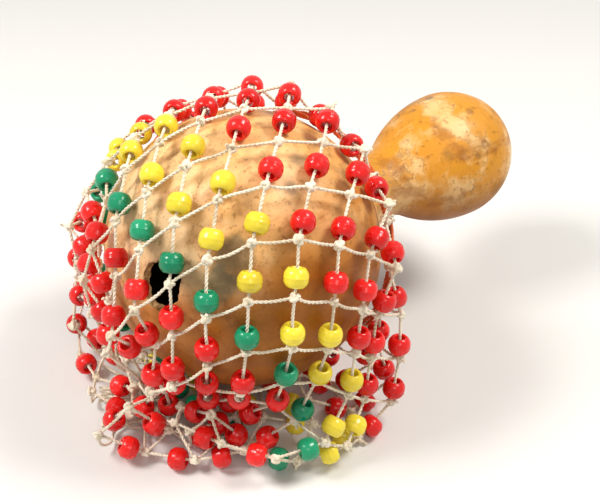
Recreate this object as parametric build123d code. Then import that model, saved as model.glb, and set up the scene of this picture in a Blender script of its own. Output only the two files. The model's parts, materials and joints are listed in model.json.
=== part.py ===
from build123d import *
import math
import os

import numpy as np

# A small handled gourd rattle, lying on its side. Millimetres, +Z up, the table is Z = 0.
# X runs along the gourd's axis to the handle, and the belly's centre is above the origin.

# Gourd: a hollow body of revolution, belly and handle bulb joined by a drawn-in neck
BELLY_RADIUS = 56.0
BULB_RADIUS = 29.0
BULB_PLACE = 117.0  # belly centre to bulb centre
BULB_FLANK = 55.0  # radius of the bulb's longer side, which tapers to the neck
NECK_RADIUS = 14.5  # at the narrowest place
WALL = 3.5
HOLE_WIDTH = 16.0  # cleaning hole at the blossom end
HOLE_HEIGHT = 19.0
HOLE_ACROSS = -17.0  # hole's centre from the gourd's axis, along Y and Z
HOLE_UP = 15.5

# Beads: round-shouldered barrels with a through hole
BEAD_DIAMETER = 9.0
BEAD_LENGTH = 7.2
BEAD_END = 6.0  # flat round each end of the hole
BEAD_HOLE = 4.0
HOLE_EDGE = 0.4  # chamfer of the hole's mouths

# Net: columns of bead strands from a collar cord, tied across by plain strands
TWINE = 1.4
KNOT = 4.0
COLUMNS = 18
ROWS = 10
STRAND = 20.4  # knot to knot down a column, one bead on each
CROSS = 16.4  # longest plain strand, from a knot to the next column, one row on
CROSS_SLACK = 7.5  # how far a plain strand may shorten by sagging
SAG = 0.7  # how far a lying bead hangs down from its strand's line
SEAT_GAP = 1.4  # a lying bead's end to the nearer of its two knots
FLAT = 0.1  # rise of a strand, as a share of its length, on which a bead stays up at the higher knot
STEEP = 0.5  # rise on which it slides down to the lower one
AIR = 0.3  # least room between pieces that only rest on each other
ELBOW = 13.2  # least distance between two knots that are tied to the same third one
LIFT = 4.0  # what a hanging bead can be lifted on its strand
HANG_TILT = 24.0  # steepest lean of a strand on which a bead counts as hanging, in degrees

# Collar cord: a ring on the shoulder, and how it leans from the gourd's axis
COLLAR = 3.2
COLLAR_PLACE = 34.0  # belly centre to the collar's plane
COLLAR_YAW = 4.0
COLLAR_DIP = -10.0
COLLAR_TURN = 0.46  # share of a column by which the net is turned
TIE_COLUMN = 11  # column that the collar's tied ends follow, at the back
TIE_TURNS = 3  # wraps of the tied ends
TIE_CORD = 1.6

# Gathered tails: the column ends, bound together by a wrap of twine on the table
TAIL = 50.0  # longest run of a tail, from its last knot to the wrap
TAIL_LINKS = 6
TAIL_LIFT = 1.4  # what keeps a tail's points off the table, because its arcs dip between them
GATHER_PLACE = (-49.0, 7.0)
GATHER_HEADING = 143.0  # which way the cut ends point, seen from above, from +X
WRAP_TURNS = 5
WRAP_PITCH = 2.0
CUT_END = 8.0  # shortest cut end past the wrap
CUT_STEP = 1.3  # by how much neighbouring cut ends differ

# Settling: how the net is let down over the gourd
START_STEP = 14.0  # row spacing of the net before it drops
START_ROOM = 6.0
START_TAPER = 4.0
SETTLE_STEPS = 420
TIGHTEN_STEPS = 300
EASE_STEPS = 400  # last steps, in which strands may give so that nothing overlaps
EASE = 0.02
SWEEPS = 4
FALL = 0.06
FASTEST = 1.5
GLIDE = 0.97
GRIP = 0.3
OVERSHOOT = 1.4
LOOK_AGAIN = 12
LOOK_ROUND = 5.0

AXIS_HEIGHT = BELLY_RADIUS + BEAD_DIAMETER + AIR
BELLY = np.array([0.0, 0.0, AXIS_HEIGHT])
FLANK_CENTRE = np.array([BULB_PLACE, BULB_RADIUS - BULB_FLANK])  # along the axis and off it
BEAD_REACH = max(BEAD_DIAMETER, math.hypot(BEAD_LENGTH, BEAD_END)) / 2  # centre to furthest point
BEAD_LOW = (BEAD_LENGTH + KNOT) / 2 + SEAT_GAP  # a lying bead's centre from its nearer knot
BEAD_SEAT = (BEAD_LENGTH + KNOT) / 2 + AIR  # a hanging bead's
HOOP = COLLAR / 2 + TWINE / 2 + AIR / 2  # hitch loop's radius round the collar cord
COLLAR_BALL = BELLY_RADIUS + AIR + HOOP + TWINE / 2  # sphere that the collar lies on
STRAND_PITCH = TWINE + AIR / 2


def unit(vector):
    return vector / np.linalg.norm(vector)


def unit_rows(vectors):
    return vectors / np.linalg.norm(vectors, axis=1)[:, None]


def neck_arc():
    """Radius and place of the hollow arc that touches both the belly and the bulb's flank."""
    belly_room = BELLY_RADIUS**2 - NECK_RADIUS**2
    flank_room = BULB_FLANK**2 - (NECK_RADIUS - FLANK_CENTRE[1]) ** 2
    lead = (BULB_PLACE**2 + belly_room - flank_room) / (2 * BULB_PLACE)
    slope = (BELLY_RADIUS - BULB_RADIUS) / BULB_PLACE
    middle = lead * slope - (BELLY_RADIUS - NECK_RADIUS)
    radius = (-middle - math.sqrt(middle**2 - slope**2 * (lead**2 - belly_room))) / slope**2
    return radius, lead + slope * radius


NECK_BLEND, NECK_PLACE = neck_arc()


def gourd_solid(inset):
    """The gourd's outside, or its hollow when inset by the wall."""
    belly, bulb, neck = BELLY_RADIUS - inset, BULB_RADIUS - inset, NECK_RADIUS - inset
    blend = NECK_BLEND + inset
    middle = Vector(NECK_PLACE, neck + blend)
    to_belly = Vector(0, 0) - middle
    to_flank = Vector(*FLANK_CENTRE) - middle
    shoulder = middle + to_belly.normalized() * blend
    root = middle + to_flank.normalized() * blend
    throat = Vector(NECK_PLACE, neck)
    top = Vector(BULB_PLACE, bulb)
    tip = Vector(BULB_PLACE + bulb, 0)
    outline = [
        ThreePointArc((-belly, 0), (0, belly), shoulder),
        ThreePointArc(shoulder, throat, root),
        RadiusArc(root, top, BULB_FLANK - inset),
        RadiusArc(top, tip, bulb),
        Line(tip, (-belly, 0)),
    ]
    face = make_face(Plane.XZ * Curve(outline))
    return Pos(*BELLY) * revolve(face, Axis.X)


def gourd_shell():
    """The dried shell, open at the blossom end."""
    hole = Plane.YZ * Pos(HOLE_ACROSS, HOLE_UP) * Ellipse(HOLE_WIDTH / 2, HOLE_HEIGHT / 2)
    bore = Pos(*BELLY) * extrude(hole, -2 * BELLY_RADIUS)
    return gourd_solid(0) - gourd_solid(WALL) - bore


def off_gourd(points):
    """How far points lie off the gourd, and the way out from it at each."""
    across = points[:, 1:] - BELLY[1:]
    out = np.maximum(np.linalg.norm(across, axis=1), 1e-9)
    flat = np.column_stack([points[:, 0], out])
    neck_centre = np.array([NECK_PLACE, NECK_RADIUS + NECK_BLEND])
    hollow, flank = flat - neck_centre, flat - FLANK_CENTRE
    far = flat[:, 0] > BULB_PLACE
    bulb = np.where(far[:, None], flat - (BULB_PLACE, 0), flank)
    belly_slant = neck_centre[1] / neck_centre[0]
    flank_slant = (neck_centre - FLANK_CENTRE)[1] / (neck_centre - FLANK_CENTRE)[0]
    in_neck = (out < flat[:, 0] * belly_slant) & (flank[:, 1] < flank[:, 0] * flank_slant)
    gap, way = np.linalg.norm(flat, axis=1) - BELLY_RADIUS, flat
    bulb_gap = np.linalg.norm(bulb, axis=1) - np.where(far, BULB_RADIUS, BULB_FLANK)
    nearer = bulb_gap < gap
    gap, way = np.where(nearer, bulb_gap, gap), np.where(nearer[:, None], bulb, way)
    gap = np.where(in_neck, NECK_BLEND - np.linalg.norm(hollow, axis=1), gap)
    way = np.where(in_neck[:, None], -hollow, way)
    way = way / np.maximum(np.linalg.norm(way, axis=1), 1e-9)[:, None]
    return gap, np.column_stack([way[:, 0], across * (way[:, 1] / out)[:, None]])


def collar_axes():
    """The collar's normal, toward the handle, and two directions across it."""
    yaw, dip = math.radians(COLLAR_YAW), math.radians(COLLAR_DIP)
    normal = np.array([math.cos(yaw) * math.cos(dip), math.sin(yaw) * math.cos(dip), math.sin(dip)])
    side = unit(np.cross([0, 0, 1], normal))
    return normal, side, np.cross(normal, side)


def collar_point(column, further=0.0):
    """A column's place on the collar, or so much further down the gourd from it."""
    normal, side, over = collar_axes()
    lean = math.acos(COLLAR_PLACE / COLLAR_BALL) + further / COLLAR_BALL
    turn = 2 * math.pi * (column + COLLAR_TURN) / COLUMNS
    out = math.cos(turn) * side + math.sin(turn) * over
    return BELLY + COLLAR_BALL * (math.cos(lean) * normal + math.sin(lean) * out), out


def gather_axes():
    """The gathered bundle: its middle, the way its cut ends point, and a side."""
    heading = math.radians(GATHER_HEADING)
    along = np.array([math.cos(heading), math.sin(heading), 0.0])
    height = bundle_radius() + TWINE + AIR
    return np.array([*GATHER_PLACE, height]), along, np.array([-along[1], along[0], 0.0])


def bundle_spot(strand):
    """A strand's place across the bundle: one in the middle, then rings of six, twelve and on."""
    ring, first = 0, 0
    while strand >= first + max(1, 6 * ring):
        first += max(1, 6 * ring)
        ring += 1
    turn = 2 * math.pi * (strand - first) / max(1, min(6 * ring, COLUMNS - first))
    return ring * STRAND_PITCH * np.array([math.cos(turn), math.sin(turn)])


def bundle_radius():
    return max(np.linalg.norm(bundle_spot(s)) for s in range(COLUMNS)) + TWINE / 2


def bundle_point(strand, along_by):
    middle, along, side = gather_axes()
    spot = bundle_spot(strand)
    return middle + along_by * along + spot[0] * side + np.array([0, 0, spot[1]])


def start_net():
    """The net held open round the gourd before it drops, as knots and tail points."""
    knots = np.zeros((ROWS + 1, COLUMNS, 3))
    for column in range(COLUMNS):
        knots[0, column] = collar_point(column, HOOP + TWINE / 2 + KNOT / 2)[0]
        for row in range(1, ROWS + 1):
            place, out = collar_point(column)
            room = START_ROOM - START_TAPER * max(0, row - ROWS // 2)
            knots[row, column] = place + room * out - np.array([START_STEP * row, 0, 0])
    ends = np.array([bundle_point(s, -WRAP_TURNS * WRAP_PITCH) for s in range(COLUMNS)])
    share = np.arange(1, TAIL_LINKS + 1)[:, None, None] / TAIL_LINKS
    return knots, (1 - share) * knots[-1] + share * ends


def spread(total, count, which, shift, off):
    """Adds the shifts that are needed to the points that they belong to, and counts them."""
    np.add.at(total, which[off], shift[off])
    np.add.at(count, which[off], 1.0)


def nearest(a, b, c, d):
    """Where lines from a to b come nearest to lines from c to d, as shares of both."""
    line, other, gap = b - a, d - c, a - c
    own, cross, theirs = (line**2).sum(1), (line * other).sum(1), (other**2).sum(1)
    lead, trail = (line * gap).sum(1), (other * gap).sum(1)
    part = (cross * trail - theirs * lead) / np.maximum(own * theirs - cross**2, 1e-9)
    part = np.clip(part, 0, 1)
    other_part = np.clip((cross * part + trail) / theirs, 0, 1)
    return np.clip((cross * other_part - lead) / own, 0, 1), other_part


def settle_net():
    """Lets the net fall over the gourd and onto the table.

    Returns its knots, its tail points, and how far up its strand each bead lies.
    """
    knots, tails = start_net()
    middle, along, _ = gather_axes()
    wrap = [middle + along * step * WRAP_TURNS * WRAP_PITCH for step in (-0.5, 0.5, 1.5)]
    collar = [collar_point(third / 3)[0] for third in range(3 * COLUMNS)]
    points = np.concatenate([knots.reshape(-1, 3), tails.reshape(-1, 3), wrap, collar])
    knot = np.arange(knots.size // 3).reshape(knots.shape[:2])
    tail = knot.size + np.arange(tails.size // 3).reshape(tails.shape[:2])
    guards = np.arange(knot.size + tail.size, len(points))
    free = np.ones(len(points))
    free[knot[0]], free[tail[-1]], free[guards] = 0, 0, 0

    # what joins the points: bead strands, cross strands, tails, and elbows between strands of one knot
    above, below = knot[:-1].ravel(), knot[1:].ravel()
    left, right = np.roll(knot, 1, axis=1), np.roll(knot, -1, axis=1)
    chain = np.concatenate([knot[-1:], tail])
    joined = [(above, below, STRAND - AIR / 3, STRAND)]
    joined += [(above, left[1:].ravel(), CROSS - CROSS_SLACK, CROSS)]
    joined += [(chain[:-1].ravel(), chain[1:].ravel(), TWINE, TAIL / TAIL_LINKS)]
    threads = sum(len(a) for a, _, _, _ in joined)
    elbows = [(knot[1:], left[1:]), (knot[:-2], knot[2:]), (knot[:-2], left[2:])]
    elbows += [(knot[:-1], right[:-1]), (knot[2:], right[:-2]), (left[2:], right[:-2])]
    joined += [(a.ravel(), b.ravel(), ELBOW, np.inf) for a, b in elbows]
    first = np.concatenate([a for a, _, _, _ in joined])
    second = np.concatenate([b for _, b, _, _ in joined])
    shortest = np.concatenate([np.full(len(a), low) for a, _, low, _ in joined])
    longest = np.concatenate([np.full(len(a), high) for a, _, _, high in joined])

    # what keeps clear of other things: knots, tails, wrap, collar, and beads part way down a strand
    whole = np.concatenate([knot.ravel(), tail.ravel(), guards])
    upper, lower = np.concatenate([whole, above]), np.concatenate([whole, below])
    sizes = [knot.size, tail.size, len(wrap), len(collar), len(above)]
    guard_radii = [bundle_radius() + TWINE, HOOP + TWINE / 2]
    radius = np.repeat([KNOT / 2, TWINE / 2, *guard_radii, BEAD_REACH], sizes)
    from_gourd = np.repeat([KNOT / 2, TWINE / 2, 0, 0, BEAD_DIAMETER / 2 + SAG], sizes)
    from_table = np.repeat([KNOT / 2, TWINE / 2 + TAIL_LIFT, 0, 0, BEAD_REACH + SAG], sizes)
    down = np.repeat([0, 0, 0, 0, 1 - BEAD_LOW / STRAND], sizes)
    up = 1 - down
    loose = np.where(upper == lower, free[upper], up**2 * free[upper] + down**2 * free[lower])
    beads = np.arange(len(whole), len(upper))
    rounds = np.concatenate([np.arange(knot.size), beads])
    thick = np.repeat([TWINE / 2, TWINE / 2, TWINE], [len(a) for a, _, _, _ in joined[:3]])
    tied = np.zeros((len(upper), len(upper)), bool)
    tied[beads, above] = tied[beads, below] = True
    tied[np.ix_(tail.ravel(), tail.ravel())] = tied[np.ix_(tail[-2:].ravel(), guards[: len(wrap)])] = True
    one, other = np.triu_indices(len(upper), 1)
    can_meet = ~(tied | tied.T)[one, other] & (loose[one] + loose[other] > 0)
    one, other = one[can_meet], other[can_meet]
    over, under = np.triu_indices(threads - tail.size, 1, threads)
    ends = [first[over] - first[under], first[over] - second[under]]
    ends += [second[over] - first[under], second[over] - second[under]]
    can_cross = np.all(ends, axis=0)
    over, under = over[can_cross], under[can_cross]

    def places(of):
        return up[:, None] * of[upper] + down[:, None] * of[lower]

    def neighbours(settled):
        spot = places(points)
        near = np.linalg.norm(spot[one] - spot[other], axis=1) < radius[one] + radius[other] + LOOK_ROUND
        centre = (points[first[:threads]] + points[second[:threads]]) / 2
        ball, line = np.nonzero(np.linalg.norm(spot[rounds][:, None] - centre, axis=2) < STRAND)
        ball, start, end = rounds[ball], first[line], second[line]
        on_it = (upper[ball] == start) & (lower[ball] == end)
        ends_it = (upper[ball] == lower[ball]) & ((upper[ball] == start) | (upper[ball] == end))
        apart = ~(on_it | ends_it)
        crossing = settled & (np.linalg.norm(centre[over] - centre[under], axis=1) < STRAND)
        return one[near], other[near], ball[apart], line[apart], over[crossing], under[crossing]

    def share_out(total, count, balls, shift, off):
        spread(total, count, upper[balls], shift * (up[balls] * free[upper[balls]])[:, None], off)
        bead = off & (upper[balls] != lower[balls])
        spread(total, count, lower[balls], shift * (down[balls] * free[lower[balls]])[:, None], bead)

    def sweep_once(near, hold):
        close, closer, ball, line, upper_line, lower_line = near
        total, count = np.zeros_like(points), np.zeros(len(points))
        span = points[first] - points[second]
        size = np.linalg.norm(span, axis=1) + 1e-9
        wrong = hold * (size - np.clip(size, shortest, longest))
        push = span * (wrong / size / np.maximum(free[first] + free[second], 1e-9))[:, None]
        spread(total, count, first, -push * free[first][:, None], wrong != 0)
        spread(total, count, second, push * free[second][:, None], wrong != 0)
        # rounds keep clear of each other
        spot = places(points)
        span = spot[close] - spot[closer]
        size = np.linalg.norm(span, axis=1) + 1e-9
        wrong = np.minimum(size - radius[close] - radius[closer] - AIR, 0)
        push = span * (wrong / size / (loose[close] + loose[closer]))[:, None]
        share_out(total, count, close, -push, wrong < 0)
        share_out(total, count, closer, push, wrong < 0)
        # beads and knots keep clear of the strands that they aren't on
        start, end = first[line], second[line]
        span = points[end] - points[start]
        part = ((spot[ball] - points[start]) * span).sum(1) / ((span**2).sum(1) + 1e-9)
        part = np.clip(part, 0, 1)
        away = spot[ball] - points[start] - part[:, None] * span
        size = np.linalg.norm(away, axis=1) + 1e-9
        wrong = np.minimum(size - radius[ball] - thick[line] - AIR, 0)
        weight = loose[ball] + (1 - part) ** 2 * free[start] + part**2 * free[end]
        push = away * (wrong / size / np.maximum(weight, 1e-9))[:, None]
        share_out(total, count, ball, -push, wrong < 0)
        spread(total, count, start, push * ((1 - part) * free[start])[:, None], wrong < 0)
        spread(total, count, end, push * (part * free[end])[:, None], wrong < 0)
        # strands keep clear of each other
        a, b, c, d = first[upper_line], second[upper_line], first[lower_line], second[lower_line]
        part, other_part = nearest(points[a], points[b], points[c], points[d])
        weights = [(a, 1 - part), (b, part), (c, other_part - 1), (d, -other_part)]
        away = sum(share[:, None] * points[end] for end, share in weights)
        size = np.linalg.norm(away, axis=1) + 1e-9
        wrong = np.minimum(size - thick[upper_line] - thick[lower_line] - AIR / 2, 0)
        weight = sum(share**2 * free[end] for end, share in weights)
        push = away * (wrong / size / np.maximum(weight, 1e-9))[:, None]
        for end, share in weights:
            spread(total, count, end, -push * (share * free[end])[:, None], wrong < 0)
        moved = points + OVERSHOOT * total / np.maximum(count, 1)[:, None]
        # nothing sinks into the gourd or the table
        total, count = np.zeros_like(points), np.zeros(len(points))
        spot = places(moved)
        gap, way = off_gourd(spot)
        push = -way * (np.minimum(gap - from_gourd - AIR, 0) / np.maximum(loose, 1e-9))[:, None]
        push[:, 2] += np.maximum(from_table - spot[:, 2], 0) / np.maximum(loose, 1e-9)
        share_out(total, count, np.arange(len(upper)), push, (loose > 0) & (push != 0).any(1))
        return moved + total / np.maximum(count, 1)[:, None]

    before = points.copy()
    resting_gap = np.full(len(points), KNOT / 2 + 2 * AIR)
    for step in range(SETTLE_STEPS + TIGHTEN_STEPS + EASE_STEPS):
        if step == SETTLE_STEPS:
            rise = unit_rows(points[above] - points[below])[:, 2]
            up[beads] = np.interp(rise, [FLAT, STEEP], [1 - BEAD_LOW / STRAND, BEAD_LOW / STRAND])
            down[beads] = 1 - up[beads]
            loose[beads] = up[beads] ** 2 * free[above] + down[beads] ** 2 * free[below]
        if step % LOOK_AGAIN == 0:
            near = neighbours(step >= SETTLE_STEPS)
        if step < SETTLE_STEPS:
            speed = GLIDE * (points - before)
            resting = (off_gourd(points)[0] < 2 * resting_gap) | (points[:, 2] < resting_gap)
            speed[resting] *= 1 - GRIP
            pace = np.linalg.norm(speed, axis=1) + 1e-9
            speed *= np.minimum(1, FASTEST / pace)[:, None]
            before = points.copy()
            points = points + (speed - np.array([0, 0, FALL])) * (free > 0)[:, None]
        for _ in range(SWEEPS):
            points = sweep_once(near, 1.0 if step < SETTLE_STEPS + TIGHTEN_STEPS else EASE)
    return points[knot], points[tail], up[beads]


def biarc_path(points, ways):
    """A smooth path of arcs, two from each point to the next, along the given directions."""
    arcs = []
    for p, q, v, w in zip(points, points[1:], ways, ways[1:]):
        line, turn = q - p, 2 - 2 * float(v @ w)
        reach = float(line @ (v + w))
        size = float(line @ line) / (2 * reach)
        if turn > 1e-6:
            size = (math.sqrt(reach**2 + turn * float(line @ line)) - reach) / turn
        joint = (p + size * v + q - size * w) / 2
        for start, end, way in ((p, joint, v), (joint, q, q - size * w - joint)):
            if np.linalg.norm(np.cross(unit(end - start), unit(way))) < 1e-5:
                arcs.append(Line(tuple(start), tuple(end)))
            else:
                arcs.append(TangentArc(tuple(start), tuple(end), tangent=tuple(way)))
    return Wire(arcs)


def tube(path, diameter):
    """A round cord along a path."""
    start = Plane(origin=path @ 0, z_dir=path % 0)
    return sweep(start * Circle(diameter / 2), path=path)


def rod(start, end):
    """A straight length of twine between two knots' surfaces."""
    way = unit(end - start)
    foot = Plane(origin=tuple(start + KNOT / 2 * way), z_dir=tuple(way))
    return Solid.make_cylinder(TWINE / 2, float(np.linalg.norm(end - start)) - KNOT, foot)


def ball(place):
    return Pos(*place) * Sphere(KNOT / 2)


def bead_solid():
    """A barrel bead about Z: a plain band, rounded shoulders, flat ends and a through hole."""
    half, hole, side = BEAD_LENGTH / 2, BEAD_HOLE / 2, BEAD_DIAMETER / 2
    mouth, step = hole + HOLE_EDGE, half - HOLE_EDGE
    rim, band = math.sqrt(BEAD_REACH**2 - half**2), math.sqrt(BEAD_REACH**2 - side**2)
    outline = [
        RadiusArc((side, band), (rim, half), -BEAD_REACH),
        Line((rim, half), (mouth, half)),
        Line((mouth, half), (hole, step)),
        Line((hole, step), (hole, -step)),
        Line((hole, -step), (mouth, -half)),
        Line((mouth, -half), (rim, -half)),
        RadiusArc((rim, -half), (side, -band), -BEAD_REACH),
    ]
    if band:
        outline.append(Line((side, -band), (side, band)))
    return revolve(make_face(Plane.XZ * Curve(outline)), Axis.Z)


def lying_seat(above, below, share):
    """Where a bead rests, a share of the way up a strand that lies on the gourd or the table."""
    way = unit(above - below)
    down = way[2] * way - np.array([0, 0, 1])  # square to the strand
    return below + share * (above - below) + SAG * unit(down)


def hanging_seat(above, below):
    """Where a hanging bead rests, so that it passes the strand's line half way up its lift."""
    way = unit(above - below)
    return below + (BEAD_SEAT + LIFT / 2 * way[2]) * way - np.array([0, 0, LIFT / 2])


def hangs(above, below, others, starts, ends):
    """Whether a bead can be lifted on its strand, clear of the gourd, of other beads and other strands."""
    if unit(above - below)[2] < math.cos(math.radians(HANG_TILT)):
        return False
    places = hanging_seat(above, below) + np.array([[0, 0, 0], [0, 0, LIFT]])
    off_others = np.linalg.norm(others - places[:, None], axis=2).min()
    spots = np.repeat(places, len(starts), axis=0)
    part = nearest(spots, spots + AIR, np.tile(starts, (2, 1)), np.tile(ends, (2, 1)))[1][:, None]
    strand = (1 - part) * np.tile(starts, (2, 1)) + part * np.tile(ends, (2, 1))
    off_strands = np.linalg.norm(spots - strand, axis=1).min()
    room = BEAD_DIAMETER / 2 + AIR / 2
    return off_gourd(places)[0].min() > room and off_others > 2 * room and off_strands > room + TWINE / 2


def hitch_loop(column):
    """The twine loop round the collar cord at one column."""
    normal = collar_axes()[0]
    place, out = collar_point(column)
    plane = Plane(origin=tuple(place), x_dir=tuple(normal), z_dir=tuple(np.cross(normal, out)))
    return plane * Torus(HOOP, TWINE / 2)


def collar_cord():
    """The collar, one closed ring of cord."""
    normal, side, _ = collar_axes()
    centre = BELLY + COLLAR_PLACE * normal
    radius = math.sqrt(COLLAR_BALL**2 - COLLAR_PLACE**2)
    plane = Plane(origin=tuple(centre), x_dir=tuple(side), z_dir=tuple(normal))
    return plane * Torus(radius, COLLAR / 2)


def collar_tie():
    """The collar's tied ends: a few wraps side by side, between two columns at the back."""
    normal = collar_axes()[0]
    wraps = []
    for turn in range(TIE_TURNS):
        gap = (turn - (TIE_TURNS - 1) / 2) * (TIE_CORD + AIR)
        share = gap * COLUMNS / (2 * math.pi * COLLAR_BALL)
        place, out = collar_point(TIE_COLUMN + 0.5 + share)
        plane = Plane(origin=tuple(place), x_dir=tuple(normal), z_dir=tuple(np.cross(normal, out)))
        wraps.append(plane * Torus((COLLAR + TIE_CORD + AIR) / 2, TIE_CORD / 2))
    return wraps


def tail_strand(column, last_knot, points):
    """A column's tail, from its last knot through the wrap to its cut end."""
    along = gather_axes()[1]
    cut = WRAP_TURNS * WRAP_PITCH / 2 + CUT_END + CUT_STEP * (column % 4)
    route = [last_knot, *points, bundle_point(column, cut)]
    ways = [unit(route[1] - route[0])] + [unit(b - a) for a, b in zip(route, route[2:])] + [along]
    ways[-2] = along
    route[0] = route[0] + KNOT / 2 * ways[0]
    return tube(biarc_path(route, ways), TWINE)


def gather_wrap():
    """The twine wound round the gathered tails, one unbroken tube. Prints its least gap to itself."""
    middle, along, side = gather_axes()
    up = np.array([0, 0, 1.0])
    radius = bundle_radius() + AIR / 2 + TWINE / 2
    points, ways = [], []
    for quarter in range(4 * WRAP_TURNS + 1):
        turn = quarter * math.pi / 2
        out = math.cos(turn) * side + math.sin(turn) * up
        on = math.cos(turn) * up - math.sin(turn) * side
        lead = WRAP_PITCH * (quarter / 4 - WRAP_TURNS / 2)
        points.append(middle + lead * along + radius * out)
        ways.append(unit(2 * math.pi * radius * on + WRAP_PITCH * along))
    path = biarc_path(points, ways)
    spots = np.array([tuple(path @ float(s)) for s in np.linspace(0, 1, 40 * WRAP_TURNS)])
    gaps = np.linalg.norm(spots[:, None] - spots, axis=2)
    far = np.abs(np.subtract.outer(range(len(spots)), range(len(spots)))) > 20
    print("wrap: least gap to itself", round(float(gaps[far].min()) - TWINE, 2), "mm")
    return tube(path, TWINE)


def write(name, *pieces):
    """Writes one node, its pieces side by side."""
    solids = [solid for piece in pieces for solid in piece.solids()]
    export_step(Compound(solids) if len(solids) > 1 else solids[0], f"parts/{name}.step")


def main():
    os.makedirs("parts", exist_ok=True)
    write("gourd_shell", gourd_shell())
    write("collar_cord", collar_cord())
    write("collar_tie", *collar_tie())
    write("hitch_loops", *[hitch_loop(column) for column in range(COLUMNS)])

    knots, tails, shares = settle_net()
    columns = range(COLUMNS)
    above, below = knots[:-1].reshape(-1, 3), knots[1:].reshape(-1, 3)
    across = np.roll(knots, 1, axis=1)[1:].reshape(-1, 3)
    starts, ends = np.concatenate([above, above]), np.concatenate([below, across])
    seats = np.array([lying_seat(*place) for place in zip(above, below, shares)])
    bead = bead_solid()
    write("hitch_knots", *[ball(knots[0, c]) for c in columns])
    for row in range(ROWS):
        number = f"{row + 1:02d}"
        lying, hanging = [], []
        for one in range(row * COLUMNS, (row + 1) * COLUMNS):
            rest = [np.delete(them, one, axis=0) for them in (seats, starts, ends)]
            free = hangs(above[one], below[one], *rest)
            seat = hanging_seat(above[one], below[one]) if free else seats[one]
            place = Plane(origin=tuple(seat), z_dir=tuple(unit(above[one] - below[one]))).location
            (hanging if free else lying).append(place * bead)
        if lying:
            write(f"beads_row_{number}", *lying)
        if hanging:
            write(f"hanging_beads_row_{number}", *hanging)
        write(f"bead_strands_row_{number}", *[rod(knots[row, c], knots[row + 1, c]) for c in columns])
        write(f"cross_strands_row_{number}", *[rod(knots[row, c], knots[row + 1, c - 1]) for c in columns])
        write(f"knots_row_{number}", *[ball(knots[row + 1, c]) for c in columns])
    write("tail_strands", *[tail_strand(c, knots[-1, c], tails[:, c]) for c in columns])
    write("gather_wrap", gather_wrap())


main()
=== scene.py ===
import json
import math

import bmesh
import bpy
import numpy as np
from mathutils import Matrix, Vector, noise

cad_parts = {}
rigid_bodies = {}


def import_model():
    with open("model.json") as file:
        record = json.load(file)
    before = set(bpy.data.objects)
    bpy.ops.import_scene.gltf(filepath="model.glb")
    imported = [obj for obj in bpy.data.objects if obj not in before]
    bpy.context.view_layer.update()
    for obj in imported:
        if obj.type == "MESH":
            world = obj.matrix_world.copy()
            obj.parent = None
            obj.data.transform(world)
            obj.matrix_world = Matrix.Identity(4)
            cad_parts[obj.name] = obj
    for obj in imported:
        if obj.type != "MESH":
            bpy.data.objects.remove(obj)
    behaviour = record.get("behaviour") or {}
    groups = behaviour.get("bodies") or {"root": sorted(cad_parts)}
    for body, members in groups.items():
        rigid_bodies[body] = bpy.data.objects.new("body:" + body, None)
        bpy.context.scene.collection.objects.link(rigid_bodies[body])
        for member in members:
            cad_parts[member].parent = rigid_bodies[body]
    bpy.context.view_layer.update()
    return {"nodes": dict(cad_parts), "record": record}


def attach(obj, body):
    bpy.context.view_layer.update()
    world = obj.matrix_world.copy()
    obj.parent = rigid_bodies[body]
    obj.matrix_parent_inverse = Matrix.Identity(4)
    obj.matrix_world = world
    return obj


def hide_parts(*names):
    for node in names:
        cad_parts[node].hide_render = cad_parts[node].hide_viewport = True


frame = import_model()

bl_info = {
    "name": "Shekere",
    "version": (1, 0, 0),
    "blender": (4, 5, 0),
    "location": "View3D > Sidebar > Shekere",
    "description": "Dresses a gourd rattle: its stained shell, its beaded net and its twine",
    "category": "Add Mesh",
}

NODES = frame["nodes"]
BODY_OF = {n: body for body, members in frame["record"]["behaviour"]["bodies"].items() for n in members}
SLOT_OF = {row["node"]: row["material_slot"] for row in frame["record"]["subparts"]}
ROWS = sorted(n[-2:] for n in NODES if n.startswith("cross_strands"))
MM = 0.001

# The gourd's own sizes, in metres: its belly's centre is above the origin, its handle along +X
BELLY_RADIUS = 0.056
BULB_RADIUS = 0.029
BULB_PLACE = 0.117
BULB_FLANK = 0.055
NECK_RADIUS = 0.0145
WALL = 0.0035
AXIS_HEIGHT = 0.0653
BELLY = Vector((0, 0, AXIS_HEIGHT))
HOLE_MIDDLE = (-0.017, AXIS_HEIGHT + 0.0155)
HOLE_SIZE = (0.016, 0.019)
HOLE_REACH = (-0.075, -0.026)  # along the axis
HOLE_STEPS = 64

# The gathered tails
GATHER_MIDDLE = Vector((-0.049, 0.007, 0.0055))
GATHER_HEADING = math.radians(143)
WRAP_TURNS = 5
WRAP_PITCH = 0.002
WRAP_RADIUS = 0.0047
WRAP_STEPS = 20  # points in each turn

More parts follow.
